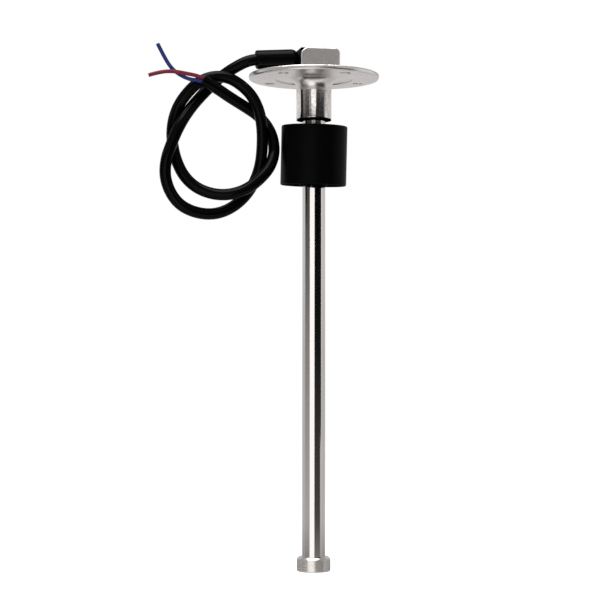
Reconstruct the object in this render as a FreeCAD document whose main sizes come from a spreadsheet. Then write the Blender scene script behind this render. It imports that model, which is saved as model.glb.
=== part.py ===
import FreeCAD, Part

import math
import os
import re

import Sketcher

# Fuel level sender with a magnetic float on a reed switch probe, in millimetres.
# The origin is the middle of the flange's underside, +Z points up out of the tank,
# the probe hangs down along -Z and the cable leaves the hood towards -X.

doc = FreeCAD.newDocument("FuelLevelSender")

# Driving dimensions, each with its value and what it measures
DIMENSIONS = {
    "flange_dia": (68.0, "flange across its rim"),
    "flange_thick": (2.5, "flange plate"),
    "rim_round": (0.7, "rounding of the flange's rim"),
    "recess_dia": (40.5, "shallow recess inside the gasket face"),
    "recess_depth": (0.4, "depth of that recess"),
    "bolt_circle": (54.0, "circle of the bolt holes"),
    "bolt_hole_dia": (5.3, "clearance hole for an M5 screw"),
    "bolt_hole_bevel": (0.25, "bevel on both ends of the bolt holes"),
    "bolt_clocking": (78.0, "first bolt hole, degrees from +X"),
    "bolt_step": (60.0, "angle from the first bolt hole to the one on each side"),
    "bolt_far_step": (144.0, "angle from the first bolt hole to the one after that"),
    "neck_dia": (18.4, "neck under the flange"),
    "neck_drop": (21.1, "neck's lower end below the flange's underside"),
    "neck_root_round": (5.2, "rounding where the neck meets the flange"),
    "neck_end_round": (0.5, "rounding of the neck's lower edge"),
    "washer_dia": (18.2, "rubber washer under the neck"),
    "washer_thick": (0.4, "that washer along the probe"),
    "hood_width": (20.8, "cable hood along X"),
    "hood_depth": (16.0, "cable hood along Y"),
    "hood_rise": (13.2, "hood above the flange's top"),
    "hood_shift": (1.9, "hood's middle from the probe's axis along X"),
    "hood_panel": (1.2, "hood's front and back panels beside the plug"),
    "hood_panel_round": (4.0, "panels' upper corner on the cable's side"),
    "hood_back_round": (2.6, "rounded top edge on the other side"),
    "hood_edge_round": (0.6, "rounding of the hood's other edges"),
    "plug_depth": (3.0, "rubber plug in the hood's open side, along X"),
    "hood_wall": (2.0, "hood's roof over the wiring passage"),
    "passage_dia": (9.0, "wiring passage from the hood to the probe"),
    "outlet_rise": (8.4, "cable outlet's middle above the flange's top"),
    "outlet_droop": (3.8, "cable outlet's slope down from the hood, degrees"),
    "tube_dia": (12.0, "probe tube outside"),
    "tube_wall": (1.0, "probe tube's wall"),
    "tube_socket": (18.6, "probe tube's length inside the neck"),
    "fit_clearance": (0.05, "radial clearance of a fixed fit"),
    "probe_length": (256.3, "flange's underside to the probe's tip"),
    "cap_dia": (17.5, "end stop outside"),
    "cap_height": (7.6, "end stop's height"),
    "cap_floor": (1.6, "end stop's closed end"),
    "cap_top_chamfer": (1.0, "bevel on the end stop's upper edge"),
    "cap_tip_chamfer": (0.5, "bevel on the end stop's lower edge"),
    "float_dia": (34.5, "float outside"),
    "float_height": (31.2, "float along the probe"),
    "float_drop": (2.9, "float's top below the washer, as shown"),
    "float_clearance": (2.35, "float's bore over the tube's diameter"),
    "float_running_gap": (0.3, "gap left where the tilted bore nears the tube"),
    "float_lean_axis": (10.5, "level line that the float tilts about, degrees from +X"),
    "float_edge_round": (0.8, "rounding of the float's outer edges"),
    "float_bore_round": (0.4, "rounding of the float's bore edges"),
    "magnet_wall": (2.0, "float's skin between its bore and the magnet"),
    "magnet_thick": (4.0, "ring magnet's radial thickness"),
    "magnet_height": (8.0, "ring magnet along the probe"),
    "board_thick": (1.0, "reed switch board"),
    "board_play": (0.3, "gap from the board's edges to the tube"),
    "board_drop": (14.0, "board's upper end below the tube's upper end"),
    "pad_overlap": (4.0, "leads' ends below the board's upper end"),
    "solder_gap": (0.1, "gap under a piece that is soldered to the board"),
    "reed_count": (10, "reed switches, and the resistors behind them"),
    "reed_dia": (2.0, "reed switch's glass"),
    "reed_length": (9.0, "reed switch's glass along the probe"),
    "reed_lead": (2.0, "reed switch's lead beyond the glass"),
    "reed_wire_dia": (0.5, "reed switch's lead wire"),
    "reed_foot_dia": (0.8, "reed switch's soldered foot"),
    "chip_length": (3.2, "chip resistor along the probe"),
    "chip_width": (1.6, "chip resistor across the board"),
    "chip_thick": (0.6, "chip resistor off the board"),
    "seal_inset": (1.0, "seal's top below the tube's upper end"),
    "seal_length": (8.0, "potted seal in the tube's upper end"),
    "boot_dia": (9.8, "strain relief boot"),
    "boot_length": (22.4, "boot outside the hood"),
    "boot_shoulder": (2.0, "boot's taper beside the hood"),
    "boot_shoulder_round": (3.0, "rounding at the start of that taper"),
    "boot_neck_dia": (6.4, "boot's neck and its spigot in the hood"),
    "boot_neck": (0.4, "boot's straight neck beside the hood"),
    "boot_spigot": (3.0, "boot's spigot inside the hood"),
    "boot_lip_round": (0.7, "rounding of the boot's mouth"),
    "boot_play": (0.1, "radial play of the cable in the boot"),
    "cable_dia": (6.0, "two-core cable"),
    "cable_grip": (15.0, "cable's length inside the boot"),
    "cable_lead": (3.6, "cable's straight start outside the boot"),
    "route_start": (21.5, "point out from the hood that the cords' routes are measured from"),
    "core_dia": (2.0, "insulated core"),
    "core_gap": (0.1, "gap between the two cores"),
    "core_play": (0.1, "radial play around the cores"),
    "strip_depth": (3.0, "cores' start inside the cable's free end"),
    "core_stub": (1.5, "cores' straight start outside the cable's free end"),
}

sheet = doc.addObject("Spreadsheet::Sheet", "Dimensions")
for row, (alias, (value, meaning)) in enumerate(DIMENSIONS.items(), start=1):
    sheet.set(f"A{row}", alias)
    sheet.set(f"B{row}", str(value))
    sheet.set(f"C{row}", meaning)
    sheet.setAlias(f"B{row}", alias)
doc.recompute()

# Places worked out from the dimensions, as formulas
HOOD_TOP = "(flange_thick + hood_rise)"
HOOD_LEFT = "(hood_shift - hood_width / 2)"
HOOD_RIGHT = "(hood_shift + hood_width / 2)"
PLUG_END = f"({HOOD_LEFT} + plug_depth)"
OUTLET_HEIGHT = "(flange_thick + outlet_rise)"
RIM_LAND = "((flange_dia - bolt_circle - bolt_hole_dia) / 2 - bolt_hole_bevel)"
NECK_END = "(0 - neck_drop)"
WASHER_END = "(0 - neck_drop - washer_thick)"
TUBE_TOP = "(tube_socket - neck_drop)"
TUBE_BORE = "(tube_dia - 2 * tube_wall)"
SOCKET_DIA = "(tube_dia + 2 * fit_clearance)"
TIP = "(0 - probe_length)"
CAP_FLOOR_TOP = "(cap_floor - probe_length)"
CAP_TOP = "(cap_height - probe_length)"
FLOAT_MIDDLE = f"({WASHER_END} - float_drop - float_height / 2)"
FLOAT_TRAVEL = f"({FLOAT_MIDDLE} - float_height / 2 - {CAP_TOP})"
FLOAT_BORE = "(tube_dia + float_clearance)"
FLOAT_TILT = "atan((float_clearance - 2 * float_running_gap) / float_height)"
MAGNET_INNER = f"({FLOAT_BORE} / 2 + magnet_wall)"
MAGNET_OUTER = f"({MAGNET_INNER} + magnet_thick)"
BOARD_TOP = f"({TUBE_TOP} - board_drop)"
BOARD_LENGTH = f"({BOARD_TOP} - {CAP_FLOOR_TOP})"
BOARD_WIDTH = f"(2 * sqrt(({TUBE_BORE} / 2 - board_play)^2 - (board_thick / 2)^2))"
REED_PITCH = f"({FLOAT_TRAVEL} / (reed_count - 1))"
REED_AXIS = "(board_thick / 2 + solder_gap + reed_dia / 2)"
LEAD_AXIS = "(board_thick / 2 + solder_gap + core_dia / 2)"
SEAL_TOP = f"({TUBE_TOP} - seal_inset)"
CORE_PITCH = "(core_dia + core_gap)"
CORE_BORE = f"({CORE_PITCH} + core_dia + 2 * core_play)"
OUTLET_MEETS_PROBE = f"({HOOD_LEFT} / cos(outlet_droop))"
PORT_DEPTH = f"((0 - {HOOD_LEFT} - passage_dia / 4) / cos(outlet_droop))"


def on_outlet_axis(distance):
    """Formulas for X and Z of a point this far out from the hood along the cable outlet."""
    x = f"({HOOD_LEFT} - ({distance}) * cos(outlet_droop))"
    z = f"({OUTLET_HEIGHT} - ({distance}) * sin(outlet_droop))"
    return x, z


# The cable's route in X, Y and Z from the routes' start on the outlet: down beside the float,
# round two loose turns that cross each other, and up to the free end
CABLE_ROUTE = [
    (-12.5, 2.5, -4.5), (-19.5, 6, -9.5), (-25.5, 6, -15.5), (-31.5, 4.5, -22), (-37, 1, -29),
    (-41.5, -1, -36.5), (-45, -1.5, -44.5), (-48, -1, -53), (-48.5, 0, -62), (-45.5, 0.5, -70.5),
    (-40, 1, -77), (-31.5, 1.5, -80.5), (-22.5, 2, -81), (-14, 2.5, -78), (-6.5, 3, -72),
    (-1, 3.5, -64), (2, 2.5, -55), (2.5, 0, -46), (2, -3, -37), (0.5, -3.5, -28),
    (-3, -3, -20), (-8.5, -1.5, -14), (-15.5, -1.5, -10), (-23.5, -1, -9.5), (-31, 0, -12.5),
    (-37, 1.5, -18.5), (-41.5, 4.5, -25.5), (-44, 5.5, -34.5), (-44, 5.5, -44), (-42, 4, -53.5),
    (-38, 2, -62), (-31.5, 0, -68), (-23, -1.5, -71), (-14.5, -3, -71), (-6, -3.5, -68),
    (1.5, -3.5, -62), (7, -2, -55), (9.5, 1.5, -46), (7.5, 3, -36.5), (1.5, 3.5, -29),
    (-6.5, 1.5, -24.5), (-15, -2, -20.5), (-23, -5, -16), (-30, -6.5, -12.5),
]
RED_ROUTE = [(-38, -8.5, -10), (-45, -9, -9), (-52, -9, -9.5), (-58, -9, -11.5)]
BLUE_ROUTE = [(-37, -5.5, -12.5), (-44.5, -5, -8.5), (-49, -5, -2.5), (-53, -5, 5.5)]

# Share of the shorter run beside a corner that the corner's arc takes up
ARC_SHARE = 0.45
# Largest difference between places that count as the same
MATCH = 1e-4
# Largest share by which a cord's volume may differ from its section times its length
VOLUME_SHARE = 0.002


def cells(formula):
    """The formula with each dimension's name turned into its cell in the sheet."""
    return re.sub(r"[a-z_]+", lambda w: f"Dimensions.{w[0]}" if w[0] in DIMENSIONS else w[0], formula)


def number(formula):
    """The formula's present value; angles are in degrees."""
    result = sheet.evalExpression(cells(formula))
    return float(getattr(result, "Value", result))


def bind(thing, **formulas):
    """Tie properties of a document object to the sheet."""
    for name, formula in formulas.items():
        thing.setExpression(name, cells(formula))


def place(thing, x="0", y="0", z="0"):
    """Tie the object's position to the sheet."""
    for axis, formula in zip("xyz", (x, y, z)):
        thing.setExpression(f"Placement.Base.{axis}", cells(formula))


def tilt(thing, angle, placement="Placement", turn_axis=("0", "1", "0")):
    """Tie the object's turn, about Y unless another axis is given, to the sheet."""
    for axis, share in zip("xyz", turn_axis):
        thing.setExpression(f"{placement}.Rotation.Axis.{axis}", cells(share))
    thing.setExpression(f"{placement}.Rotation.Angle", cells(angle))


# Sketches and features of a body


def new_body(label):
    body = doc.addObject("PartDesign::Body", label)
    body.Label = label
    return body


def new_sketch(body, name, plane):
    sketch = body.newObject("Sketcher::SketchObject", name)
    support = next(feature for feature in body.Origin.OriginFeatures if feature.Role == plane)
    sketch.AttachmentSupport = [(support, "")]
    sketch.MapMode = "FlatFace"
    return sketch


def fix_point(sketch, geometry, end, tag, x, y):
    """Hold one point of the sketch at two formulas from the sketch's origin."""
    for kind, letter, formula in (("DistanceX", "x", x), ("DistanceY", "y", y)):
        index = sketch.addConstraint(Sketcher.Constraint(kind, -1, 1, geometry, end, number(formula)))
        sketch.renameConstraint(index, f"{letter}_{tag}")
        sketch.setExpression(f"Constraints.{letter}_{tag}", cells(formula))


def outline_sketch(body, name, plane, corners):
    """A closed outline of straight edges through the corners, each a pair of formulas."""
    sketch = new_sketch(body, name, plane)
    points = [FreeCAD.Vector(number(x), number(y), 0) for x, y in corners]
    for start, end in zip(points, points[1:] + points[:1]):
        sketch.addGeometry(Part.LineSegment(start, end), False)
    for edge in range(len(points)):
        following = (edge + 1) % len(points)
        sketch.addConstraint(Sketcher.Constraint("Coincident", edge, 2, following, 1))
    for edge, (x, y) in enumerate(corners):
        fix_point(sketch, edge, 1, f"corner_{edge}", x, y)
    return sketch


def circle_sketch(body, name, plane, diameter, middles):
    """Circles of one diameter, each middle a pair of formulas."""
    sketch = new_sketch(body, name, plane)
    for circle, (x, y) in enumerate(middles):
        middle = FreeCAD.Vector(number(x), number(y), 0)
        sketch.addGeometry(Part.Circle(middle, FreeCAD.Vector(0, 0, 1), number(diameter) / 2), False)
        fix_point(sketch, circle, 3, f"middle_{circle}", x, y)
        index = sketch.addConstraint(Sketcher.Constraint("Diameter", circle, number(diameter)))
        sketch.renameConstraint(index, f"diameter_{circle}")
        sketch.setExpression(f"Constraints.diameter_{circle}", cells(diameter))
    return sketch


def add_feature(body, kind, name, **properties):
    feature = body.newObject(f"PartDesign::{kind}", name)
    for key, value in properties.items():
        setattr(feature, key, value)
    body.Tip = feature
    return feature


def check_cut(feature, before):
    """A cut has to take material away."""
    doc.recompute()
    if feature.Shape.Volume > before.Volume - MATCH:
        raise RuntimeError(f"{feature.Label} cuts nothing")


def turn(body, name, corners, kind="Revolution", axis="V_Axis"):
    """Turn an outline in the XZ plane about the sketch's vertical or horizontal axis."""
    sketch = outline_sketch(body, f"{name}_outline", "XZ_Plane", corners)
    return add_feature(body, kind, name, Profile=sketch, ReferenceAxis=(sketch, [axis]), Angle=360)


def edges_that(shape, test):
    return [f"Edge{i}" for i, edge in enumerate(shape.Edges, start=1) if test(edge)]


def near(a, b):
    return abs(a - b) < MATCH


def rim(axis, place_on_axis, diameter):
    """A test for the circular edges of this diameter at this place along the body's axis."""

    def test(edge):
        curve = edge.Curve
        if not isinstance(curve, Part.Circle):
            return False
        return near(curve.Radius, number(diameter) / 2) and near(curve.Center[axis], number(place_on_axis))

    return test


def dress(body, kind, name, formula, *tests):
    """A fillet or chamfer on each edge that passes a test."""
    doc.recompute()
    base = body.Tip
    names = edges_that(base.Shape, lambda edge: any(test(edge) for test in tests))
    if not names:
        raise RuntimeError(f"{name} finds no edge")
    feature = add_feature(body, kind, name, Base=(base, names))
    bind(feature, **{"Radius" if kind == "Fillet" else "Size": formula})
    return feature


def roof_edge(x):
    """A test for the hood's upper edge that runs along Y at the given X."""
    return lambda edge: all(
        near(v.X, number(x)) and near(v.Z, number(HOOD_TOP)) for v in edge.Vertexes
    )


def hood_side(body, name, bottom, right):
    """The hood's outline seen along Y, from the cable's side to the given place."""
    return outline_sketch(body, name, "XZ_Plane", [
        (HOOD_LEFT, bottom),
        (right, bottom),
        (right, HOOD_TOP),
        (HOOD_LEFT, HOOD_TOP),
    ])


def outlet_bore(body, name):
    """A hole along the cable outlet for the boot's spigot."""
    doc.recompute()
    before = body.Tip.Shape
    port = circle_sketch(body, f"{name}_circle", "YZ_Plane", "boot_neck_dia + 2 * fit_clearance", [("0", "0")])
    port_x, port_z = on_outlet_axis(f"0 - {PORT_DEPTH}")
    port.setExpression("AttachmentOffset.Base.y", cells(port_z))
    port.setExpression("AttachmentOffset.Base.z", cells(port_x))
    tilt(port, "0 - outlet_droop", "AttachmentOffset", ("1", "0", "0"))
    bore = add_feature(body, "Pocket", name, Profile=port)
    bind(bore, Length=f"{PORT_DEPTH} + boot_neck_dia / 2")
    check_cut(bore, before)
    return bore


# The sub-parts


def head_casting():
    """Flange, neck and cable hood in one investment casting."""
    body = new_body("head_casting")
    turn(body, "flange_and_neck", [
        ("0", "flange_thick"),
        ("flange_dia / 2", "flange_thick"),
        ("flange_dia / 2", "0"),
        ("recess_dia / 2", "0"),
        ("recess_dia / 2", "recess_depth"),
        ("neck_dia / 2", "recess_depth"),
        ("neck_dia / 2", NECK_END),
        ("0", NECK_END),
    ])

    def face_edge(edge):
        above = edge.BoundBox.ZMax > number("flange_thick") + MATCH
        flat = near(edge.BoundBox.YLength, 0)
        return above and flat and near(abs(edge.BoundBox.YMax), number("hood_depth") / 2)

    hood = add_feature(body, "Pad", "hood", SideType="Symmetric",
                       Profile=hood_side(body, "hood_outline", "flange_thick / 2", HOOD_RIGHT))
    bind(hood, Length="hood_depth")
    dress(body, "Fillet", "hood_panel_corner", "hood_panel_round", roof_edge(HOOD_LEFT))
    dress(body, "Fillet", "hood_back_edge", "hood_back_round", roof_edge(HOOD_RIGHT))
    dress(body, "Fillet", "hood_face_edges", "hood_edge_round", face_edge)
    doc.recompute()
    before = body.Tip.Shape
    slot = add_feature(body, "Pocket", "plug_slot", SideType="Symmetric",
                       Profile=hood_side(body, "plug_slot_outline", "flange_thick", PLUG_END))
    bind(slot, Length="hood_depth - 2 * hood_panel")
    check_cut(slot, before)
    dress(body, "Fillet", "neck_root", "neck_root_round", rim(2, "recess_depth", "neck_dia"))
    dress(body, "Fillet", "neck_end", "neck_end_round", rim(2, NECK_END, "neck_dia"))
    dress(body, "Fillet", "flange_rim", f"min(rim_round; {RIM_LAND} / 2)",
          rim(2, "0", "flange_dia"), rim(2, "flange_thick", "flange_dia"))
    doc.recompute()
    before = body.Tip.Shape
    passage_top = f"({HOOD_TOP} - hood_wall)"
    wiring = turn(body, "wiring_passage", [
        ("0", NECK_END),
        (f"{SOCKET_DIA} / 2", NECK_END),
        (f"{SOCKET_DIA} / 2", TUBE_TOP),
        ("passage_dia / 2", TUBE_TOP),
        ("passage_dia / 2", passage_top),
        ("0", passage_top),
    ], kind="Groove")
    check_cut(wiring, before)
    before = outlet_bore(body, "cable_outlet").Shape
    bearings = [
        f"(bolt_clocking {turned})"
        for turned in ("", "+ bolt_step", "- bolt_step", "+ bolt_far_step", "- bolt_far_step")
    ]
    circles = circle_sketch(body, "bolt_hole_circles", "XY_Plane", "bolt_hole_dia", [
        (f"bolt_circle / 2 * cos({bearing})", f"bolt_circle / 2 * sin({bearing})") for bearing in bearings
    ])
    holes = add_feature(body, "Pocket", "bolt_holes", Profile=circles, Reversed=True)
    bind(holes, Length="flange_thick")
    check_cut(holes, before)
    dress(body, "Chamfer", "bolt_hole_bevels", "bolt_hole_bevel",
          rim(2, "0", "bolt_hole_dia"), rim(2, "flange_thick", "bolt_hole_dia"))
    return body


def hood_plug():
    """Rubber plug in the hood's open side, between its panels, with the boot's spigot through it."""
    body = new_body("hood_plug")
    block = add_feature(body, "Pad", "plug_block", SideType="Symmetric",
                        Profile=hood_side(body, "plug_outline", "flange_thick", f"({PLUG_END} - fit_clearance)"))
    bind(block, Length="hood_depth - 2 * hood_panel - 2 * fit_clearance")
    dress(body, "Fillet", "plug_edge", "hood_edge_round", roof_edge(HOOD_LEFT))
    outlet_bore(body, "plug_bore")
    return body


def neck_washer():
    """Rubber washer on the neck's lower end, above the float."""
    body = new_body("neck_washer")
    turn(body, "washer_ring", [
        (f"{SOCKET_DIA} / 2", NECK_END),
        ("washer_dia / 2", NECK_END),
        ("washer_dia / 2", WASHER_END),
        (f"{SOCKET_DIA} / 2", WASHER_END),
    ])
    return body


def probe_tube():
    body = new_body("probe_tube")
    turn(body, "tube_wall_ring", [
        (f"{TUBE_BORE} / 2", CAP_FLOOR_TOP),
        ("tube_dia / 2", CAP_FLOOR_TOP),
        ("tube_dia / 2", TUBE_TOP),
        (f"{TUBE_BORE} / 2", TUBE_TOP),
    ])
    return body


def end_stop():
    """Turned cup on the probe's tip, which also stops the float."""
    body = new_body("end_stop")
    turn(body, "cup", [
        ("0", TIP),
        ("cap_dia / 2", TIP),
        ("cap_dia / 2", CAP_TOP),
        (f"{SOCKET_DIA} / 2", CAP_TOP),
        (f"{SOCKET_DIA} / 2", CAP_FLOOR_TOP),
        ("0", CAP_FLOOR_TOP),
    ])
    dress(body, "Chamfer", "upper_bevel", "cap_top_chamfer", rim(2, CAP_TOP, "cap_dia"))
    dress(body, "Chamfer", "lower_bevel", "cap_tip_chamfer", rim(2, TIP, "cap_dia"))
    return body


def set_on_probe(body):
    """Float pieces hang on the probe at the shown height, tilted as far as the bore's play lets them."""
    place(body, z=FLOAT_MIDDLE)
    tilt(body, FLOAT_TILT, turn_axis=("cos(float_lean_axis)", "sin(float_lean_axis)", "0"))


def float_body():
    """Foam rubber float with a closed chamber for its magnet."""
    body = new_body("float_body")
    half = "float_height / 2"
    turn(body, "float_ring", [
        (f"{FLOAT_BORE} / 2", f"0 - {half}"),
        ("float_dia / 2", f"0 - {half}"),
        ("float_dia / 2", half),
        (f"{FLOAT_BORE} / 2", half),
    ])
    dress(body, "Fillet", "outer_edges", "float_edge_round",
          rim(2, half, "float_dia"), rim(2, f"0 - {half}", "float_dia"))
    dress(body, "Fillet", "bore_edges", "float_bore_round",
          rim(2, half, FLOAT_BORE), rim(2, f"0 - {half}", FLOAT_BORE))
    doc.recompute()
    before = body.Tip.Shape
    reach = "(magnet_height / 2 + fit_clearance)"
    chamber = turn(body, "magnet_chamber", [
        (f"{MAGNET_INNER} - fit_clearance", f"0 - {reach}"),
        (f"{MAGNET_OUTER} + fit_clearance", f"0 - {reach}"),
        (f"{MAGNET_OUTER} + fit_clearance", reach),
        (f"{MAGNET_INNER} - fit_clearance", reach),
    ], kind="Groove")
    check_cut(chamber, before)
    set_on_probe(body)
    return body


def float_magnet():
    body = new_body("float_magnet")
    turn(body, "magnet_ring", [
        (MAGNET_INNER, "0 - magnet_height / 2"),
        (MAGNET_OUTER, "0 - magnet_height / 2"),
        (MAGNET_OUTER, "magnet_height / 2"),
        (MAGNET_INNER, "magnet_height / 2"),
    ])
    set_on_probe(body)
    return body


def cable_boot():
    """Rubber strain relief: its own axis is X, from the mouth to the spigot in the hood."""
    body = new_body("cable_boot")
    spigot_end = "(boot_length + boot_spigot)"
    cable_bore = "(cable_dia / 2 + boot_play)"
    turn(body, "boot_ring", [
        ("0", cable_bore),
        ("0", "boot_dia / 2"),
        ("boot_length - boot_neck - boot_shoulder", "boot_dia / 2"),
        ("boot_length - boot_neck", "boot_neck_dia / 2"),
        (spigot_end, "boot_neck_dia / 2"),
        (spigot_end, f"{CORE_BORE} / 2"),
        ("cable_grip", f"{CORE_BORE} / 2"),
        ("cable_grip", cable_bore),
    ], axis="H_Axis")
    dress(body, "Fillet", "shoulder", "boot_shoulder_round",
          rim(0, "boot_length - boot_neck - boot_shoulder", "boot_dia"))
    dress(body, "Fillet", "mouth_lip", "boot_lip_round", rim(0, "0", "boot_dia"))
    mouth_x, mouth_z = on_outlet_axis("boot_length")
    place(body, x=mouth_x, z=mouth_z)
    tilt(body, "0 - outlet_droop")
    return body


def reed_board():
    board = doc.addObject("Part::Box", "reed_board")
    bind(board, Length=BOARD_WIDTH, Width="board_thick", Height=BOARD_LENGTH)
    place(board, x=f"0 - {BOARD_WIDTH} / 2", y="0 - board_thick / 2", z=CAP_FLOOR_TOP)
    return board


def reed_switch(index):
    """Glass reed with a wire through it and a foot at each end down to the board."""
    label = f"reed_switch_{index + 1:02d}"
    half_wire = "(reed_length / 2 + reed_lead)"
    glass = doc.addObject("Part::Cylinder", f"{label}_glass")
    bind(glass, Radius="reed_dia / 2", Height="reed_length")
    place(glass, z="0 - reed_length / 2")
    wire = doc.addObject("Part::Cylinder", f"{label}_wire")
    bind(wire, Radius="reed_wire_dia / 2", Height=f"2 * {half_wire}")
    place(wire, z=f"0 - {half_wire}")
    feet = []
    for side in ("0 -", ""):
        foot = doc.addObject("Part::Cylinder", f"{label}_foot")
        bind(foot, Radius="reed_foot_dia / 2", Height="reed_foot_dia / 2 + reed_dia / 2 + solder_gap")
        foot.Placement.Rotation = FreeCAD.Rotation(FreeCAD.Vector(1, 0, 0), -90)
        place(foot, y="0 - reed_foot_dia / 2", z=f"{side} {half_wire}")
        feet.append(foot)
    switch = doc.addObject("Part::MultiFuse", label)
    switch.Shapes = [glass, wire, *feet]
    place(switch, y=f"0 - {REED_AXIS}", z=f"{FLOAT_MIDDLE} - {index} * {REED_PITCH}")
    return switch


def chip_resistor(index):
    chip = doc.addObject("Part::Box", f"resistor_{index + 1:02d}")
    bind(chip, Length="chip_width", Width="chip_thick", Height="chip_length")
    place(chip, x="0 - chip_width / 2", y="board_thick / 2",
          z=f"{FLOAT_MIDDLE} - {index} * {REED_PITCH} - chip_length / 2")
    return chip


def tube_seal():
    """Potting in the tube's upper end with a hole for each lead."""
    plug = doc.addObject("Part::Cylinder", "potting")
    bind(plug, Radius=f"{TUBE_BORE} / 2 - fit_clearance", Height="seal_length")
    holes = []
    for side in ("0 -", ""):
        hole = doc.addObject("Part::Cylinder", "potting_hole")
        bind(hole, Radius="core_dia / 2 + core_play", Height="seal_length")
        place(hole, y=f"{side} {LEAD_AXIS}")
        holes.append(hole)
    both = doc.addObject("Part::MultiFuse", "potting_holes")
    both.Shapes = holes
    seal = doc.addObject("Part::Cut", "tube_seal")
    seal.Base = plug
    seal.Tool = both
    place(seal, z=f"{SEAL_TOP} - seal_length")
    return seal


# Cords


def rounded_path(label, points):
    """Straight runs joined by tangent arcs, each as large as its two runs allow."""
    edges = []
    radii = []
    start = points[0]
    for before, corner, after in zip(points, points[1:], points[2:]):
        back, ahead = before - corner, after - corner
        reach = ARC_SHARE * min(back.Length, ahead.Length)
        back.normalize()
        ahead.normalize()
        half_angle = back.getAngle(ahead) / 2
        radius = reach * math.tan(half_angle)
        inward = (back + ahead).normalize()
        middle = corner + inward * (radius / math.sin(half_angle) - radius)
        enter, leave = corner + back * reach, corner + ahead * reach
        edges.append(Part.LineSegment(start, enter).toShape())
        edges.append(Part.Arc(enter, middle, leave).toShape())
        radii.append(radius)
        start = leave
    edges.append(Part.LineSegment(start, points[-1]).toShape())
    path = doc.addObject("Part::Feature", f"{label}_path")
    path.Shape = Part.Wire(edges)
    print(f"{label}: {path.Shape.Length:.1f} long, radii", " ".join(f"{r:.1f}" for r in radii))
    return path


def swept_cord(label, points, diameter):
    """A round cord along the rounded path through the points."""
    path = rounded_path(label, points)
    section = doc.addObject("Part::Circle", f"{label}_section")
    bind(section, Radius=f"{diameter} / 2")
    facing = FreeCAD.Rotation(FreeCAD.Vector(0, 0, 1), points[1] - points[0])
    section.Placement = FreeCAD.Placement(points[0], facing)
    cord = doc.addObject("Part::Sweep", label)
    cord.Sections = [section]
    cord.Spine = (path, [f"Edge{i + 1}" for i in range(len(path.Shape.Edges))])
    cord.Solid = True
    doc.recompute()
    expected = path.Shape.Length * math.pi * (number(diameter) / 2) ** 2
    if abs(cord.Shape.Volume / expected - 1) > VOLUME_SHARE:
        raise RuntimeError(f"{label} has volume {cord.Shape.Volume:.1f}, not {expected:.1f}")
    return cord


def outlet_point(distance):
    """The point this far out from the hood along the cable outlet."""
    x, z = on_outlet_axis(distance)
    return FreeCAD.Vector(number(x), 0, number(z))


def from_route_start(route):
    """A route's points in the part's frame."""
    start = outlet_point("route_start")
    return [start + FreeCAD.Vector(*point) for point in route]


def cable():
    """The cable from its end in the boot to its free end, where the jacket is hollow around the cores."""
    inner_end = outlet_point("boot_length - cable_grip")
    straight_end = outlet_point("boot_length + cable_lead")
    points = [inner_end, straight_end, *from_route_start(CABLE_ROUTE)]
    cord = swept_cord("cable_cord", points, "cable_dia")
    hollow = doc.addObject("Part::Cylinder", "cable_end_hollow")
    bind(hollow, Radius=f"{CORE_BORE} / 2", Height="strip_depth")
    inward = points[-2] - points[-1]
    hollow.Placement = FreeCAD.Placement(points[-1], FreeCAD.Rotation(FreeCAD.Vector(0, 0, 1), inward))
    jacket = doc.addObject("Part::Cut", "cable")
    jacket.Base = cord
    jacket.Tool = hollow
    return jacket


def core_tail(label, route, side):
    """A core from inside the cable's free end to its own cut end."""
    before, end = from_route_start(CABLE_ROUTE)[-2:]
    along = (end - before).normalize()
    up = FreeCAD.Vector(0, 0, 1)
    across = (up - along * up.dot(along)).normalize() * side * number(CORE_PITCH) / 2
    inside = end + across - along * number("strip_depth")
    outside = end + across + along * number("core_stub")
    return swept_cord(label, [inside, outside, *from_route_start(route)], "core_dia")


def core_lead(label, side):
    """A core from the cable's inner end through the hood and the seal to the board."""
    beside = side * number(CORE_PITCH) / 2
    on_board = side * number(LEAD_AXIS)
    points = [
        outlet_point("boot_length - cable_grip") + FreeCAD.Vector(0, beside, 0),
        outlet_point(OUTLET_MEETS_PROBE) + FreeCAD.Vector(0, beside, 0),
        FreeCAD.Vector(0, on_board, number(TUBE_TOP)),
        FreeCAD.Vector(0, on_board, number(f"{BOARD_TOP} - pad_overlap")),
    ]
    return swept_cord(label, points, "core_dia")


def sub_parts():
    switches = range(round(number("reed_count")))
    return [
        head_casting(),
        hood_plug(),
        neck_washer(),
        probe_tube(),
        end_stop(),
        float_body(),
        float_magnet(),
        reed_board(),
        *[reed_switch(index) for index in switches],
        *[chip_resistor(index) for index in switches],
        tube_seal(),
        cable_boot(),
        cable(),
        core_tail("red_wire", RED_ROUTE, 1),
        core_tail("blue_wire", BLUE_ROUTE, -1),
        core_lead("red_lead", -1),
        core_lead("blue_lead", 1),
    ]


parts = sub_parts()
doc.recompute()
for thing in doc.Objects:
    if {"Invalid", "Error"} & set(thing.State):
        raise RuntimeError(f"{thing.Label} failed: {thing.State}")
for part in parts:
    if part.Shape.isNull() or not part.Shape.isValid() or len(part.Shape.Solids) != 1:
        raise RuntimeError(f"{part.Label} is not one valid solid")

os.makedirs("parts", exist_ok=True)
for part in parts:
    part.Shape.exportStep(f"parts/{part.Label}.step")
print(len(parts), "parts written")
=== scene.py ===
import math

import bmesh
import bpy
from mathutils import Matrix, Vector


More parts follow.
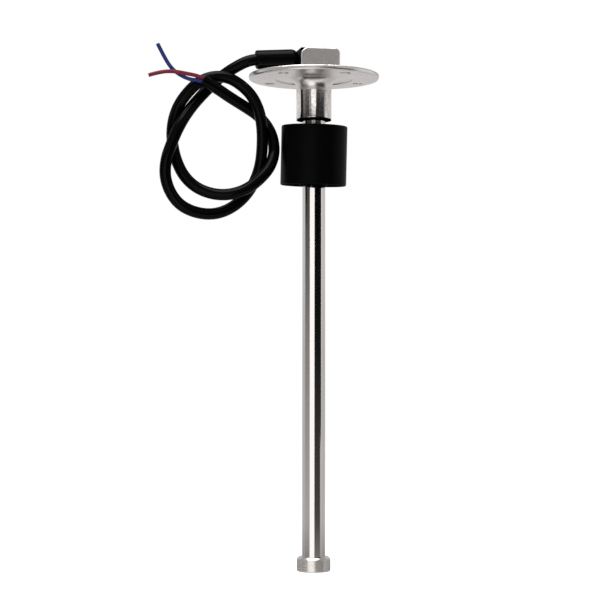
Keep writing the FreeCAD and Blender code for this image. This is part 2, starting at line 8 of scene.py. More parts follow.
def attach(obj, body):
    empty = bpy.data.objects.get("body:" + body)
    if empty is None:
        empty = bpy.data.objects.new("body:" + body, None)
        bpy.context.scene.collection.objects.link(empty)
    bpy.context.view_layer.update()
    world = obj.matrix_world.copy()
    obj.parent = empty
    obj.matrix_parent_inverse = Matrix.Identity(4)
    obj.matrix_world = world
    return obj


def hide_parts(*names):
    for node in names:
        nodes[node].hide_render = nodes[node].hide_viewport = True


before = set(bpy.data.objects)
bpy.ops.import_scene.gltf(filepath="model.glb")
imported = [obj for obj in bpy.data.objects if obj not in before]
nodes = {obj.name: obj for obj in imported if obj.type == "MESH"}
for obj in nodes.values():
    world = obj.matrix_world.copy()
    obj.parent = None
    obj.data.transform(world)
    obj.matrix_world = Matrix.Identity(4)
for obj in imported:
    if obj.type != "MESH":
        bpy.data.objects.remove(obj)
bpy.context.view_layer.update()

# Fuel level sender: the part's lengths are millimetres made metres with MM, the studio's are metres
MM = 0.001
SAME_POINT = 0.0001 * MM
ON_RING = 0.001 * MM
scene = bpy.context.scene
scene.view_settings.view_transform = "Standard"

# The photo's view: 12 degrees round to the cable's side, a little below the head
VIEW_TURN = math.radians(12)
TOWARDS_VIEWER = Vector((-math.sin(VIEW_TURN), -math.cos(VIEW_TURN), 0))
VIEWERS_RIGHT = Vector((math.cos(VIEW_TURN), -math.sin(VIEW_TURN), 0))
CAMERA_PLACE = (-0.19284, -0.87912, -0.145)
CAMERA_PITCH = math.radians(91.797)
CAMERA_ROLL = math.radians(-0.05)
CAMERA_LENS = 102.66
CAMERA_SENSOR = 36

# Head: the straight part of the neck, below this height, is finished smoother than the rest
NECK_FINISH_TOP = -6.2 * MM
HEAD_WELD = 0.002 * MM

# Probe tube and the stop at its end, by radius and height
TUBE_RADIUS = 6 * MM
TUBE_BORE = 5 * MM
TUBE_TOP = -2.5 * MM
TUBE_END = -254.7 * MM
TUBE_LIP_ROUND = 0.2 * MM
STOP_RADIUS = 8.75 * MM
STOP_BORE = 6.05 * MM
STOP_TOP = -248.7 * MM
STOP_TIP = -256.3 * MM
STOP_TOP_BEVEL = 1.0 * MM
STOP_TIP_BEVEL = 0.5 * MM

# Float: it hangs tilted as far as its loose bore lets it, about an axis near X
FLOAT_RADIUS = 17.25 * MM
FLOAT_HEIGHT = 31.2 * MM
FLOAT_MIDDLE = -40.0 * MM
FLOAT_CLEARANCE = 2.35 * MM
FLOAT_BORE = TUBE_RADIUS + FLOAT_CLEARANCE / 2
FLOAT_SIDE_GAP = 0.3 * MM
FLOAT_RIM_ROUND = 0.8 * MM
FLOAT_BORE_ROUND = 0.4 * MM
FLOAT_TILT = math.atan2(FLOAT_CLEARANCE - 2 * FLOAT_SIDE_GAP, FLOAT_HEIGHT)
FLOAT_LEAN = math.radians(10.5)
FLOAT_LEAN_AXIS = Vector((math.cos(FLOAT_LEAN), math.sin(FLOAT_LEAN), 0))
CUT_END_SLOPE = 0.9

# Cable outlet: the middle of the hood's outlet and the way the boot points
OUTLET = Vector((-8.5, 0, 10.9)) * MM
OUTLET_DROOP = math.radians(3.8)
OUTWARD = Vector((-math.cos(OUTLET_DROOP), 0, -math.sin(OUTLET_DROOP)))

# Cable: what the boot holds of it, and the straight stretch each side of the boot's mouth
CABLE_DIA = 6.0 * MM
CABLE_GRIP = 15 * MM
CABLE_LEAD = 3.6 * MM

# Boot: lengths run from its mouth towards the hood
BOOT_LENGTH = 22.4 * MM
BOOT_RADIUS = 4.9 * MM
BOOT_BORE = 3.1 * MM
BOOT_CORE_BORE = 2.15 * MM
BOOT_SHOULDER = 20.0 * MM
BOOT_DOME_END = 22.0 * MM
BOOT_NECK = 3.2 * MM
BOOT_NECK_END = 25.4 * MM
BOOT_DOME_ROUND = 1.09 * MM
BOOT_LIP_ROUND = 0.7 * MM
BOOT_BORE_ROUND = 0.2 * MM
BOOT_MOUTH = OUTLET + OUTWARD * BOOT_LENGTH

# The cable's two wires and their copper strands
CORE_DIA = 2 * MM
CORE_PITCH = 2.1 * MM
CORE_STUB = 1.5 * MM
STRIP_DEPTH = 3 * MM
STRAND_COUNT = 7
STRAND_RING = 0.34 * MM
STRAND_ROOT_RADIUS = 0.17 * MM
STRAND_TIP_RADIUS = 0.15 * MM
STRAND_LENGTH = 0.4 * MM
STRAND_SINK = 0.1 * MM

# Route of the cable in X, Y and Z from its start on the outlet's line, then of its two wires
ROUTE_START = OUTLET + OUTWARD * 21.5 * MM
CABLE_ROUTE = [
    (-12.5, 2.5, -4.5), (-19.5, 6, -9.5), (-25.5, 6, -15.5), (-31.5, 4.5, -22), (-37, 1, -29),
    (-41.5, -1, -36.5), (-45, -1.5, -44.5), (-48, -1, -53), (-48.5, 0, -62), (-45.5, 0.5, -70.5),
    (-40, 1, -77), (-31.5, 1.5, -80.5), (-22.5, 2, -81), (-14, 2.5, -78), (-6.5, 3, -72),
    (-1, 3.5, -64), (2, 2.5, -55), (2.5, 0, -46), (2, -3, -37), (0.5, -3.5, -28),
    (-3, -3, -20), (-8.5, -1.5, -14), (-15.5, -1.5, -10), (-23.5, -1, -9.5), (-31, 0, -12.5),
    (-37, 1.5, -18.5), (-41.5, 4.5, -25.5), (-44, 5.5, -34.5), (-44, 5.5, -44), (-42, 4, -53.5),
    (-38, 2, -62), (-31.5, 0, -68), (-23, -1.5, -71), (-14.5, -3, -71), (-6, -3.5, -68),
    (1.5, -3.5, -62), (7, -2, -55), (9.5, 1.5, -46), (7.5, 3, -36.5), (1.5, 3.5, -29),
    (-6.5, 1.5, -24.5), (-15, -2, -20.5), (-23, -5, -16), (-30, -6.5, -12.5),
]
RED_ROUTE = [(-38, -8.5, -10), (-45, -9, -9), (-52, -9, -9.5), (-58, -9, -11.5)]
BLUE_ROUTE = [(-37, -5.5, -12.5), (-44.5, -5, -8.5), (-49, -5, -2.5), (-53, -5, 5.5)]

# Studio, in metres: the floor, and cards that stand round the probe and show only in reflections
FLOOR_HEIGHT = -0.34
FLOOR_SIZE = 3.0
FLOOR_WHITE = 0.9
FLOOR_WHITE_REFLECTED = 0.58
FLOOR_GLOW = 0.65
ROOM_SEEN = 1.0
ROOM_LIGHT = 0.4
CARD_RADIUS = 0.45
FRONT_CARD_RADIUS = 0.445
BACK_CARD_RADIUS = 0.455
CARD_STEPS = 24
CARD_FOOT = -0.40
SOFTBOX_FOOT = -0.5
CARD_TOP = 0.2
FLOOR_CARD_NEAR = 0.27
FLOOR_CARD_FAR = 0.42
FLOOR_CARD_HEIGHT = -0.339

# Heights at which the graded cards change: where the end stop, the tube's tip, middle and upper end show them
GRADE_STOP = -0.306
GRADE_TIP = -0.273
GRADE_MIDDLE = -0.14
GRADE_BACK = -0.07
GRADE_UPPER = -0.022

# Heights that the cards part at: what the tube, the neck, the flange's rim and the hood reflect
LOWER_TUBE_TOP = -0.21
TUBE_BAND_TOP = 0.0
NECK_BAND_FOOT = 0.043
BACK_BAND_TOP = 0.055
NECK_BAND_TOP = 0.0625
RIM_BAND_TOP = 0.069
HOOD_BAND_TOP = 0.14


# Camera


def photo_camera():
    data = bpy.data.cameras.new("photo_camera")
    data.sensor_width = CAMERA_SENSOR
    data.lens = CAMERA_LENS
    camera = bpy.data.objects.new("photo_camera", data)
    camera.location = CAMERA_PLACE
    camera.rotation_euler = (CAMERA_PITCH, CAMERA_ROLL, -VIEW_TURN)
    scene.collection.objects.link(camera)
    scene.camera = camera


# Surface effects shared by the materials


def surface_effect(name, fine_stretch, slow_stretch, fine_detail=2, fine_roughness=0.5):
    """A node group of a fine and a slow noise, each drawn out along the axes where its stretch is small."""
    group = bpy.data.node_groups.new(name, "ShaderNodeTree")
    for layer in ("Fine", "Slow"):
        group.interface.new_socket(f"{layer} Scale", in_out="INPUT", socket_type="NodeSocketFloat")
        group.interface.new_socket(layer, in_out="OUTPUT", socket_type="NodeSocketFloat")
    given = group.nodes.new("NodeGroupInput")
    made = group.nodes.new("NodeGroupOutput")
    place = group.nodes.new("ShaderNodeTexCoord")
    for layer, stretch, detail, roughness in (
        ("Fine", fine_stretch, fine_detail, fine_roughness),
        ("Slow", slow_stretch, 2, 0.5),
    ):
        mapping = group.nodes.new("ShaderNodeMapping")
        mapping.inputs["Scale"].default_value = stretch
        noise = group.nodes.new("ShaderNodeTexNoise")
        noise.inputs["Detail"].default_value = detail
        noise.inputs["Roughness"].default_value = roughness
        group.links.new(place.outputs["Object"], mapping.inputs["Vector"])
        group.links.new(mapping.outputs["Vector"], noise.inputs["Vector"])
        group.links.new(given.outputs[f"{layer} Scale"], noise.inputs["Scale"])
        group.links.new(noise.outputs["Fac"], made.inputs[layer])
    return group


# Grain of a blasted casting, lines along a drawn tube, and rings that a lathe tool leaves round Z
EVEN = (1, 1, 1)
CAST_GRAIN = surface_effect("cast_grain", EVEN, EVEN, fine_detail=3, fine_roughness=0.6)
DRAWN_LINES = surface_effect("drawn_lines", (1, 1, 0.01), (1, 1, 0.15))
TURNED_RINGS = surface_effect("turned_rings", (0.004, 0.004, 1), EVEN)

# The share of a noise's range in which most of its values lie
NOISE_LOW = 0.3
NOISE_HIGH = 0.7


# Finishes


def grey(level):
    return (level, level, level)


def finish_of(name, effect, scales, dark, pale, roughness, bump, **constants):
    """A Principled material: the effect's slow noise shades the colour from dark to pale, and its fine noise
    sets the roughness between two values and a bump of this many millimetres."""
    material = bpy.data.materials.new(name)
    material.use_nodes = True
    tree = material.node_tree
    shader = tree.nodes["Principled BSDF"]
    for socket, value in constants.items():
        shader.inputs[socket.replace("_", " ")].default_value = value
    surface = tree.nodes.new("ShaderNodeGroup")
    surface.node_tree = effect
    for layer, scale in zip(("Fine", "Slow"), scales):
        surface.inputs[f"{layer} Scale"].default_value = scale
    colour = tree.nodes.new("ShaderNodeMix")
    colour.data_type = "RGBA"
    colour.inputs[6].default_value = (*dark, 1)
    colour.inputs[7].default_value = (*pale, 1)
    tree.links.new(surface.outputs["Slow"], colour.inputs["Factor"])
    tree.links.new(colour.outputs[2], shader.inputs["Base Color"])
    span = tree.nodes.new("ShaderNodeMapRange")
    span.inputs["From Min"].default_value = NOISE_LOW
    span.inputs["From Max"].default_value = NOISE_HIGH
    for end, value in zip(("Min", "Max"), roughness):
        span.inputs[f"To {end}"].default_value = value
    tree.links.new(surface.outputs["Fine"], span.inputs["Value"])
    tree.links.new(span.outputs["Result"], shader.inputs["Roughness"])
    relief = tree.nodes.new("ShaderNodeBump")
    relief.inputs["Strength"].default_value = 1
    relief.inputs["Distance"].default_value = bump * MM
    tree.links.new(surface.outputs["Fine"], relief.inputs["Height"])
    tree.links.new(relief.outputs["Normal"], shader.inputs["Normal"])
    return material


SATIN_STEEL = finish_of(
    "satin_steel", CAST_GRAIN, (2200, 70), (0.625, 0.594, 0.576), (0.755, 0.717, 0.695),
    roughness=(0.25, 0.37), bump=0.008, Metallic=1.0)
NECK_STEEL = finish_of(
    "neck_steel", CAST_GRAIN, (2200, 850), (0.36, 0.335, 0.32), (0.91, 0.865, 0.835),
    roughness=(0.06, 0.12), bump=0.006, Metallic=1.0)
POLISHED_STEEL = finish_of(
    "polished_steel", DRAWN_LINES, (3000, 40), (0.60, 0.57, 0.55), (0.68, 0.65, 0.63),
    roughness=(0.06, 0.13), bump=0.0006, Metallic=1.0)
TURNED_STEEL = finish_of(
    "turned_steel", TURNED_RINGS, (6000, 180), (0.58, 0.545, 0.515), (0.68, 0.64, 0.605),
    roughness=(0.2, 0.32), bump=0.004, Metallic=1.0)
FLOAT_RUBBER = finish_of(
    "float_rubber", CAST_GRAIN, (1800, 90), grey(0.0004), grey(0.0009),
    roughness=(0.34, 0.46), bump=0.006, Specular_IOR_Level=0.03)
MATT_RUBBER = finish_of(
    "matt_rubber", CAST_GRAIN, (1800, 90), grey(0.0007), grey(0.0016),
    roughness=(0.6, 0.8), bump=0.01, Specular_IOR_Level=0.0)
BOOT_RUBBER = finish_of(
    "boot_rubber", CAST_GRAIN, (2400, 120), grey(0.0005), grey(0.001),
    roughness=(0.22, 0.3), bump=0.006, Specular_IOR_Level=0.05)
CABLE_SHEATH = finish_of(
    "cable_sheath", CAST_GRAIN, (2000, 150), grey(0.0005), (0.001, 0.001, 0.0011),
    roughness=(0.1, 0.16), bump=0.003, Specular_IOR_Level=0.05)
RED_INSULATION = finish_of(
    "red_insulation", CAST_GRAIN, (2500, 250), (0.085, 0.009, 0.016), (0.14, 0.016, 0.026),
    roughness=(0.3, 0.4), bump=0.003, Specular_IOR_Level=0.08)
BLUE_INSULATION = finish_of(
    "blue_insulation", CAST_GRAIN, (2500, 250), (0.008, 0.014, 0.07), (0.014, 0.024, 0.11),
    roughness=(0.3, 0.4), bump=0.003, Specular_IOR_Level=0.08)
COPPER_STRANDS = finish_of(
    "copper_strands", CAST_GRAIN, (5000, 900), (0.45, 0.2, 0.1), (0.62, 0.3, 0.16),
    roughness=(0.25, 0.4), bump=0.004, Metallic=1.0)
FERRITE = finish_of(
    "ferrite", CAST_GRAIN, (3000, 200), (0.03, 0.03, 0.033), (0.06, 0.06, 0.065),
    roughness=(0.5, 0.7), bump=0.01, Metallic=0.3)
BOARD_LACQUER = finish_of(
    "board_lacquer", DRAWN_LINES, (1500, 700), (0.012, 0.09, 0.03), (0.03, 0.16, 0.06),
    roughness=(0.3, 0.45), bump=0.003)
REED_GLASS = finish_of(
    "reed_glass", DRAWN_LINES, (1500, 300), (0.4, 0.52, 0.4), (0.5, 0.6, 0.48),
    roughness=(0.03, 0.08), bump=0.0005, Transmission_Weight=0.9)
CHIP_CERAMIC = finish_of(
    "chip_ceramic", CAST_GRAIN, (4000, 800), grey(0.015), grey(0.04),
    roughness=(0.4, 0.6), bump=0.004)
POTTING_RESIN = finish_of(
    "potting_resin", CAST_GRAIN, (900, 200), grey(0.01), grey(0.025),
    roughness=(0.15, 0.3), bump=0.004)


# Making and placing pieces


def new_piece(name, data, materials, body, slot, *replaced):
    """Put a mesh or curve in the scene, riding on a body in place of its solids."""
    for material in materials:
        data.materials.append(material)
    piece = bpy.data.objects.new(name, data)
    scene.collection.objects.link(piece)
    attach(piece, body)
    if replaced:
        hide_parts(*replaced)
    return piece


def mesh_of(name, shape):
    mesh = bpy.data.meshes.new(name)
    shape.to_mesh(mesh)
    shape.free()
    return mesh


def smooth_mesh(name, shape, sharp_degrees=32):
    """A mesh from a bmesh, smooth except at edges sharper than the given angle."""
    for face in shape.faces:
        face.smooth = True
    for edge in shape.edges:
        edge.smooth = edge.calc_face_angle(math.pi) < math.radians(sharp_degrees)
    return mesh_of(name, shape)


def even_shading(piece):
    """Let the large faces set the shading, so that a rounded edge doesn't tilt it."""
    weighted = piece.modifiers.new("even_shading", "WEIGHTED_NORMAL")
    weighted.keep_sharp = True


def lathe(profile, steps):
    """Spin an outline of (radius, height) about Z: closed, or from the axis back to the axis."""
    shape = bmesh.new()
    points = [shape.verts.new((radius, 0, height)) for radius, height in profile]
    edges = [shape.edges.new(pair) for pair in zip(points, points[1:])]
    if profile[0][0] > 0:
        edges.append(shape.edges.new((points[-1], points[0])))
    bmesh.ops.spin(shape, geom=points + edges, cent=(0, 0, 0), axis=(0, 0, 1), angle=2 * math.pi,
                   steps=steps, use_merge=True)
    bmesh.ops.remove_doubles(shape, verts=shape.verts[:], dist=SAME_POINT)
    bmesh.ops.recalc_face_normals(shape, faces=shape.faces[:])
    return shape


def round_ring(shape, radius, height, width, segments):
    """Round the ring of edges at this radius and height, or bevel it where there is one segment."""

    def on_ring(vert):
        level = abs(vert.co.z - height) < ON_RING
        return level and abs(vert.co.xy.length - radius) < ON_RING

    ring = [edge for edge in shape.edges if all(on_ring(vert) for vert in edge.verts)]
    bmesh.ops.bevel(shape, geom=ring, offset=width, affect="EDGES", segments=segments,
                    profile=0.5, material=-1, clamp_overlap=True)


# The metal head, tube and end stop


def head():
    """The casting's own solid with its triangles joined, so that its rounded edges shade smoothly."""
    shape = bmesh.new()
    shape.from_mesh(nodes["head_casting"].data)
    bmesh.ops.remove_doubles(shape, verts=shape.verts[:], dist=HEAD_WELD)
    bmesh.ops.bisect_plane(shape, geom=shape.verts[:] + shape.edges[:] + shape.faces[:], dist=SAME_POINT,
                           plane_co=(0, 0, NECK_FINISH_TOP), plane_no=(0, 0, 1))
    for face in shape.faces:
        face.material_index = 1 if face.calc_center_median().z < NECK_FINISH_TOP else 0
    mesh = smooth_mesh("head", shape, sharp_degrees=28)
    piece = new_piece("head", mesh, [SATIN_STEEL, NECK_STEEL], "sender", "satin_steel", "head_casting")
    even_shading(piece)


def tube():
    outline = [(TUBE_BORE, TUBE_END), (TUBE_RADIUS, TUBE_END), (TUBE_RADIUS, TUBE_TOP), (TUBE_BORE, TUBE_TOP)]
    shape = lathe(outline, steps=192)
    round_ring(shape, TUBE_RADIUS, TUBE_TOP, TUBE_LIP_ROUND, segments=2)
    mesh = smooth_mesh("tube", shape)
    piece = new_piece("tube", mesh, [POLISHED_STEEL], "sender", "polished_steel", "probe_tube")
    even_shading(piece)


def tip_stop():
    """A cup on the tube's end, bevelled at its top and its tip."""
    shape = lathe([
        (0, STOP_TIP), (STOP_RADIUS, STOP_TIP), (STOP_RADIUS, STOP_TOP),
        (STOP_BORE, STOP_TOP), (STOP_BORE, TUBE_END), (0, TUBE_END),
    ], steps=160)
    round_ring(shape, STOP_RADIUS, STOP_TOP, STOP_TOP_BEVEL, segments=1)
    round_ring(shape, STOP_RADIUS, STOP_TIP, STOP_TIP_BEVEL, segments=1)
    mesh = smooth_mesh("tip_stop", shape, sharp_degrees=24)
    piece = new_piece("tip_stop", mesh, [TURNED_STEEL], "sender", "turned_steel", "end_stop")
    even_shading(piece)


# The float


def rubber_float():
    """The float's moulded side has a faint sheen; its cut ends have none."""
    low, high = -FLOAT_HEIGHT / 2, FLOAT_HEIGHT / 2
    outline = [(FLOAT_BORE, low), (FLOAT_RADIUS, low), (FLOAT_RADIUS, high), (FLOAT_BORE, high)]
    shape = lathe(outline, steps=160)
    for height in (low, high):
        round_ring(shape, FLOAT_RADIUS, height, FLOAT_RIM_ROUND, segments=5)
        round_ring(shape, FLOAT_BORE, height, FLOAT_BORE_ROUND, segments=3)
    shape.normal_update()
    for face in shape.faces:
        face.material_index = 1 if abs(face.normal.z) > CUT_END_SLOPE else 0
    tilted = Matrix.Translation((0, 0, FLOAT_MIDDLE)) @ Matrix.Rotation(FLOAT_TILT, 4, FLOAT_LEAN_AXIS)
    bmesh.ops.transform(shape, matrix=tilted, verts=shape.verts[:])
    mesh = smooth_mesh("rubber_float", shape)
    finishes = [FLOAT_RUBBER, MATT_RUBBER]
    piece = new_piece("rubber_float", mesh, finishes, "float", "float_rubber", "float_body")
    even_shading(piece)


# The boot and the cords


def boot():
    """Strain relief with a rounded lip at its mouth and a domed end that narrows into the hood."""
    shape = lathe([
        (BOOT_BORE, 0), (BOOT_RADIUS, 0), (BOOT_RADIUS, BOOT_SHOULDER), (BOOT_NECK, BOOT_DOME_END),
        (BOOT_NECK, BOOT_NECK_END), (BOOT_CORE_BORE, BOOT_NECK_END), (BOOT_CORE_BORE, CABLE_GRIP),
        (BOOT_BORE, CABLE_GRIP),
    ], steps=96)
    round_ring(shape, BOOT_RADIUS, BOOT_SHOULDER, BOOT_DOME_ROUND, segments=6)
    round_ring(shape, BOOT_RADIUS, 0, BOOT_LIP_ROUND, segments=5)
    round_ring(shape, BOOT_BORE, 0, BOOT_BORE_ROUND, segments=2)
    along_outlet = Matrix.Translation(BOOT_MOUTH) @ (-OUTWARD).to_track_quat("Z", "Y").to_matrix().to_4x4()
    bmesh.ops.transform(shape, matrix=along_outlet, verts=shape.verts[:])
    mesh = smooth_mesh("boot", shape)
    piece = new_piece("boot", mesh, [BOOT_RUBBER], "sender", "boot_rubber", "cable_boot")
    even_shading(piece)


def cord_curve(name, points, diameter):
    """A round cord on one smooth spline with the route's points as its control points."""
    curve = bpy.data.curves.new(name, "CURVE")
    curve.dimensions = "3D"
    curve.resolution_u = 10
    curve.bevel_depth = diameter / 2
    curve.bevel_resolution = 12
    curve.use_fill_caps = True
    spline = curve.splines.new("NURBS")
    spline.points.add(len(points) - 1)
    for control, point in zip(spline.points, points):
        control.co = (*point, 1)
    spline.order_u = 3
    spline.use_endpoint_u = True
    return curve


def from_route_start(route):
    return [ROUTE_START + Vector(point) * MM for point in route]


def cable():
    """The cable from inside the boot to its free end; two points keep it straight at the boot's mouth."""
    points = [
        BOOT_MOUTH - OUTWARD * CABLE_GRIP,
        BOOT_MOUTH - OUTWARD * CABLE_LEAD,
        BOOT_MOUTH + OUTWARD * CABLE_LEAD,
        *from_route_start(CABLE_ROUTE),
    ]
    curve = cord_curve("two_core_cable", points, CABLE_DIA)
    piece = new_piece("two_core_cable", curve, [CABLE_SHEATH], "sender", "cable_jacket", "cable")


def wire(name, route, side, material, slot, node):
    """A core from inside the cable's free end to its own cut end."""
    before, end = from_route_start(CABLE_ROUTE)[-2:]
    along = (end - before).normalized()
    up = Vector((0, 0, 1))
    across = (up - along * up.dot(along)).normalized() * side * CORE_PITCH / 2
    points = [end + across - along * STRIP_DEPTH, end + across + along * CORE_STUB, *from_route_start(route)]
    piece = new_piece(name, cord_curve(name, points, CORE_DIA), [material], "sender", slot, node)
    strands = wire_strands(f"{name}_strands", points[-1], (points[-1] - points[-2]).normalized(), slot)


def wire_strands(name, end, along, slot):
    """Copper strands, one in the middle of a ring of the others, that show at a wire's cut end."""
    shape = bmesh.new()
    turned = along.to_track_quat("Z", "Y").to_matrix().to_4x4()
    for index in range(STRAND_COUNT):
        ring = 0.0 if index == 0 else STRAND_RING
        angle = index * 2 * math.pi / (STRAND_COUNT - 1)
        spot = Vector((ring * math.cos(angle), ring * math.sin(angle), -STRAND_SINK))
        place = Matrix.Translation(end) @ turned @ Matrix.Translation(spot)
        bmesh.ops.create_cone(shape, cap_ends=True, segments=12, radius1=STRAND_ROOT_RADIUS,
                              radius2=STRAND_TIP_RADIUS, depth=STRAND_LENGTH, matrix=place)
    return new_piece(name, smooth_mesh(name, shape), [COPPER_STRANDS], "sender", slot)


# Finishes of the solids that stay


def kept_solids():
    """The plug, the washer and what is inside the tube and the float keep their solids and get finishes."""
    finishes = {
        "hood_plug": BOOT_RUBBER, "neck_washer": MATT_RUBBER, "float_magnet": FERRITE,
        "reed_board": BOARD_LACQUER, "tube_seal": POTTING_RESIN,
        "red_lead": RED_INSULATION, "blue_lead": BLUE_INSULATION,
    }
    for name in nodes:
        if name.startswith("reed_switch"):
            finishes[name] = REED_GLASS
        elif name.startswith("resistor"):
            finishes[name] = CHIP_CERAMIC
    for name, material in finishes.items():
        mesh = nodes[name].data
        mesh.materials.clear()
        mesh.materials.append(material)


# Studio


def glow(name, strength):
    """A material that shines evenly."""
    material = bpy.data.materials.new(name)
    material.use_nodes = True
    tree = material.node_tree
    tree.nodes.remove(tree.nodes["Principled BSDF"])
    shine = tree.nodes.new("ShaderNodeEmission")
    shine.name = "Shine"
    shine.inputs["Strength"].default_value = strength
    tree.links.new(shine.outputs["Emission"], tree.nodes["Material Output"].inputs["Surface"])
    return material


def graded_glow(name, levels):
    """A material that shines by its height: levels are pairs of height and brightness, from the lowest up."""
    material = glow(name, 1.0)
    tree = material.node_tree
    place = tree.nodes.new("ShaderNodeTexCoord")
    split = tree.nodes.new("ShaderNodeSeparateXYZ")
    span = tree.nodes.new("ShaderNodeMapRange")
    ramp = tree.nodes.new("ShaderNodeValToRGB")
    low, high = levels[0][0], levels[-1][0]
    span.inputs["From Min"].default_value = low
    span.inputs["From Max"].default_value = high
    tree.links.new(place.outputs["Object"], split.inputs["Vector"])
    tree.links.new(split.outputs["Z"], span.inputs["Value"])
    tree.links.new(span.outputs["Result"], ramp.inputs["Fac"])
    tree.links.new(ramp.outputs["Color"], tree.nodes["Shine"].inputs["Color"])
    stops = ramp.color_ramp.elements
    inner = [stops.new((height - low) / (high - low)) for height, _ in levels[1:-1]]
    for stop, (_, brightness) in zip([stops[0], *inner, stops[-1]], levels):
        stop.color = (*grey(brightness), 1)
    return material


def swept_card(name, material, from_degrees, to_degrees, ends_of_edge):
    """A card that only reflections see: an edge between two (radius, height) ends, swept round the probe
    from one bearing off the viewer to another."""
    angle = math.radians(from_degrees)
    start = TOWARDS_VIEWER * math.cos(angle) + VIEWERS_RIGHT * math.sin(angle)
    shape = bmesh.new()
    ends = [shape.verts.new((start.x * radius, start.y * radius, height)) for radius, height in ends_of_edge]
    edge = shape.edges.new(ends)
    bmesh.ops.spin(shape, geom=ends + [edge], cent=(0, 0, 0), axis=(0, 0, 1),
                   angle=math.radians(to_degrees - from_degrees), steps=CARD_STEPS)
    mesh = mesh_of(name, shape)
    mesh.materials.append(material)
    card = bpy.data.objects.new(name, mesh)
    scene.collection.objects.link(card)
    card.visible_camera = False
    card.visible_diffuse = False
    card.visible_shadow = False
    card.visible_transmission = False


def round_card(name, material, from_degrees, to_degrees, low, high, radius=CARD_RADIUS):
    swept_card(name, material, from_degrees, to_degrees, [(radius, low), (radius, high)])


def soft_lamp(name, place, target, size, watts, reflected):
    data = bpy.data.lights.new(name, "AREA")
    data.shape = "SQUARE"
    data.size = size
    data.energy = watts
    lamp = bpy.data.objects.new(name, data)
    lamp.location = place
    lamp.rotation_euler = (Vector(target) - Vector(place)).to_track_quat("-Z", "Y").to_euler()
    lamp.visible_glossy = reflected
    scene.collection.objects.link(lamp)


def white_room():
    """World: white where it is seen, and dimmer where it lights the object or shows in its metal."""
    world = bpy.data.worlds.new("white_room")
    world.use_nodes = True
    scene.world = world
    tree = world.node_tree
    back = tree.nodes["Background"]
    back.inputs["Color"].default_value = (*grey(1), 1)
    path = tree.nodes.new("ShaderNodeLightPath")
    seen = tree.nodes.new("ShaderNodeMath")
    seen.operation = "MAXIMUM"
    level = tree.nodes.new("ShaderNodeMapRange")
    level.inputs["To Min"].default_value = ROOM_LIGHT
    level.inputs["To Max"].default_value = ROOM_SEEN
    tree.links.new(path.outputs["Is Camera Ray"], seen.inputs[0])
    tree.links.new(path.outputs["Is Transmission Ray"], seen.inputs[1])
    tree.links.new(seen.outputs["Value"], level.inputs["Value"])
    tree.links.new(level.outputs["Result"], back.inputs["Strength"])


def floor_finish():
    """Matt white, greyer in reflections, glowing a little to the camera and clear from underneath."""
    material = bpy.data.materials.new("pale_floor")
    material.use_nodes = True
    tree = material.node_tree
    path = tree.nodes.new("ShaderNodeLightPath")
    shade = tree.nodes.new("ShaderNodeMix")
    shade.data_type = "RGBA"
    shade.inputs[6].default_value = (*grey(FLOOR_WHITE), 1)
    shade.inputs[7].default_value = (*grey(FLOOR_WHITE_REFLECTED), 1)
    matt = tree.nodes["Principled BSDF"]
    matt.inputs["Roughness"].default_value = 0.9
    matt.inputs["Specular IOR Level"].default_value = 0.0
    share = tree.nodes.new("ShaderNodeMath")
    share.operation = "MULTIPLY"
    share.inputs[1].default_value = FLOOR_GLOW
    white = tree.nodes.new("ShaderNodeEmission")
    lit = tree.nodes.new("ShaderNodeAddShader")
    under = tree.nodes.new("ShaderNodeNewGeometry")
    clear = tree.nodes.new("ShaderNodeBsdfTransparent")
    through = tree.nodes.new("ShaderNodeMixShader")
    tree.links.new(path.outputs["Is Glossy Ray"], shade.inputs["Factor"])
    tree.links.new(shade.outputs[2], matt.inputs["Base Color"])
    tree.links.new(path.outputs["Is Camera Ray"], share.inputs[0])
    tree.links.new(share.outputs["Value"], white.inputs["Strength"])
    tree.links.new(matt.outputs["BSDF"], lit.inputs[0])
    tree.links.new(white.outputs["Emission"], lit.inputs[1])
    tree.links.new(under.outputs["Backfacing"], through.inputs["Fac"])
    tree.links.new(lit.outputs["Shader"], through.inputs[1])
    tree.links.new(clear.outputs["BSDF"], through.inputs[2])
    tree.links.new(through.outputs["Shader"], tree.nodes["Material Output"].inputs["Surface"])
    return material


def pale_floor():
    shape = bmesh.new()
    bmesh.ops.create_grid(shape, x_segments=1, y_segments=1, size=FLOOR_SIZE,
                          matrix=Matrix.Translation((0, 0, FLOOR_HEIGHT)))
    mesh = mesh_of("pale_floor", shape)
    mesh.materials.append(floor_finish())
    floor = bpy.data.objects.new("pale_floor", mesh)
    scene.collection.objects.link(floor)


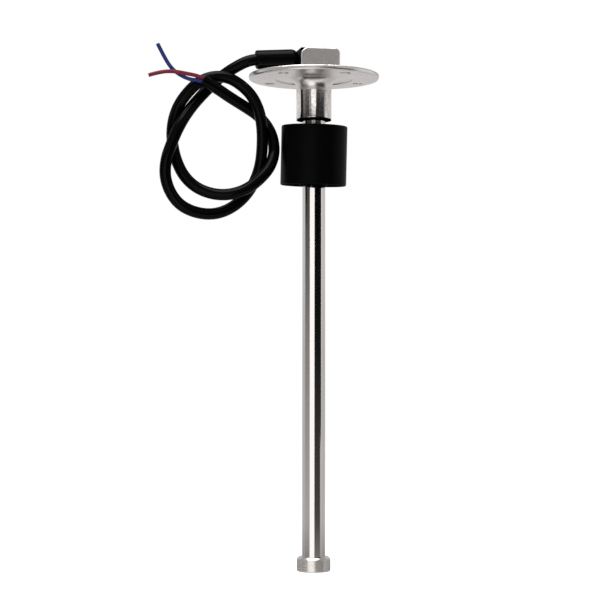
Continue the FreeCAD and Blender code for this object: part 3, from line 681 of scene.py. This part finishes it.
def tube_cards():
    """Cards that the tube and the end stop reflect."""
    round_card("white_softbox", glow("white_softbox", 1.55), -40, 6, SOFTBOX_FOOT, TUBE_BAND_TOP)
    swept_card("white_floor_card", glow("white_floor_card", 1.15), -42, 50,
               [(FLOOR_CARD_NEAR, FLOOR_CARD_HEIGHT), (FLOOR_CARD_FAR, FLOOR_CARD_HEIGHT)])
    dark_left = graded_glow("dark_card_left", [
        (CARD_FOOT, 0.27), (GRADE_STOP, 0.28), (GRADE_TIP, 0.58),
        (GRADE_MIDDLE, 0.33), (GRADE_UPPER, 0.085), (TUBE_BAND_TOP, 0.075),
    ])
    dark_right = graded_glow("dark_card_right", [
        (CARD_FOOT, 0.28), (GRADE_STOP, 0.28), (GRADE_TIP, 0.08),
        (GRADE_MIDDLE, 0.011), (GRADE_UPPER, 0.002), (TUBE_BAND_TOP, 0.002),
    ])
    grey_side = graded_glow("grey_card_side", [
        (CARD_FOOT, 0.46), (GRADE_STOP, 0.46), (GRADE_TIP, 0.7),
        (GRADE_MIDDLE, 0.83), (GRADE_UPPER, 1.0), (BACK_BAND_TOP, 1.0),
    ])
    grey_back = graded_glow("grey_card_back", [
        (CARD_FOOT, 0.34), (GRADE_STOP, 0.35), (GRADE_TIP, 0.66),
        (GRADE_MIDDLE, 0.66), (GRADE_BACK, 0.78), (BACK_BAND_TOP, 0.78),
    ])
    round_card("dark_card_left", dark_left, -95, -41, CARD_FOOT, TUBE_BAND_TOP)
    round_card("dark_card_right", dark_right, 8, 78, LOWER_TUBE_TOP, TUBE_BAND_TOP)
    round_card("dark_card_lower_right", dark_right, 8, 67, CARD_FOOT, LOWER_TUBE_TOP)
    round_card("grey_card_side", grey_side, 66, 96, CARD_FOOT, BACK_BAND_TOP, BACK_CARD_RADIUS)
    round_card("grey_card_back", grey_back, 96, 264, CARD_FOOT, BACK_BAND_TOP)


def neck_cards():
    """Cards that the neck reflects, over a black gap between them and the tube's cards."""
    round_card("black_gap", glow("black_gap", 0.005), -95, 76, TUBE_BAND_TOP, NECK_BAND_FOOT)
    for name, brightness, from_degrees, to_degrees in (
        ("neck_pale_left", 0.98, -165, -95),
        ("neck_grey_left", 0.24, -95, -57),
        ("neck_dark_left", 0.10, -57, -30),
        ("neck_half_left", 0.50, -30, -15),
        ("neck_softbox", 1.75, -15, 13),
        ("neck_dark_right", 0.02, 13, 67),
        ("neck_half_right", 0.40, 67, 81),
        ("neck_pale_right", 0.80, 81, 165),
    ):
        round_card(name, glow(name, brightness), from_degrees, to_degrees, NECK_BAND_FOOT, NECK_BAND_TOP,
                   FRONT_CARD_RADIUS)


def head_cards():
    """Cards that the flange's rim and the hood reflect."""
    for name, brightness, from_degrees, to_degrees, low, high, radius in (
        ("upper_softbox_rim", 1.1, -18, 12, NECK_BAND_TOP, RIM_BAND_TOP, CARD_RADIUS),
        ("grey_card_rim", 0.16, -95, 76, NECK_BAND_TOP, RIM_BAND_TOP, BACK_CARD_RADIUS),
        ("grey_card_front", 0.41, -30, 36, RIM_BAND_TOP, CARD_TOP, CARD_RADIUS),
        ("pale_card_right", 1.1, 36, 130, RIM_BAND_TOP, HOOD_BAND_TOP, CARD_RADIUS),
        ("pale_card_left", 0.9, -130, -30, RIM_BAND_TOP, HOOD_BAND_TOP, CARD_RADIUS),
        ("dark_card_back_left", 0.12, -165, -147, BACK_BAND_TOP, CARD_TOP, CARD_RADIUS),
        ("dark_card_back_right", 0.3, 147, 165, BACK_BAND_TOP, CARD_TOP, CARD_RADIUS),
    ):
        round_card(name, glow(name, brightness), from_degrees, to_degrees, low, high, radius)


def studio():
    white_room()
    pale_floor()
    tube_cards()
    neck_cards()
    head_cards()
    soft_lamp("overhead_softbox", place=(-0.15, -0.15, 0.7), target=(0, 0, -0.02), size=0.7, watts=9,
              reflected=True)
    soft_lamp("front_softbox", place=(-0.45, -0.75, 0.25), target=(-0.02, 0, -0.08), size=0.6, watts=7,
              reflected=False)


photo_camera()
head()
tube()
tip_stop()
rubber_float()
boot()
cable()
wire("red_core", RED_ROUTE, 1, RED_INSULATION, "red_insulation", "red_wire")
wire("blue_core", BLUE_ROUTE, -1, BLUE_INSULATION, "blue_insulation", "blue_wire")
kept_solids()
studio()
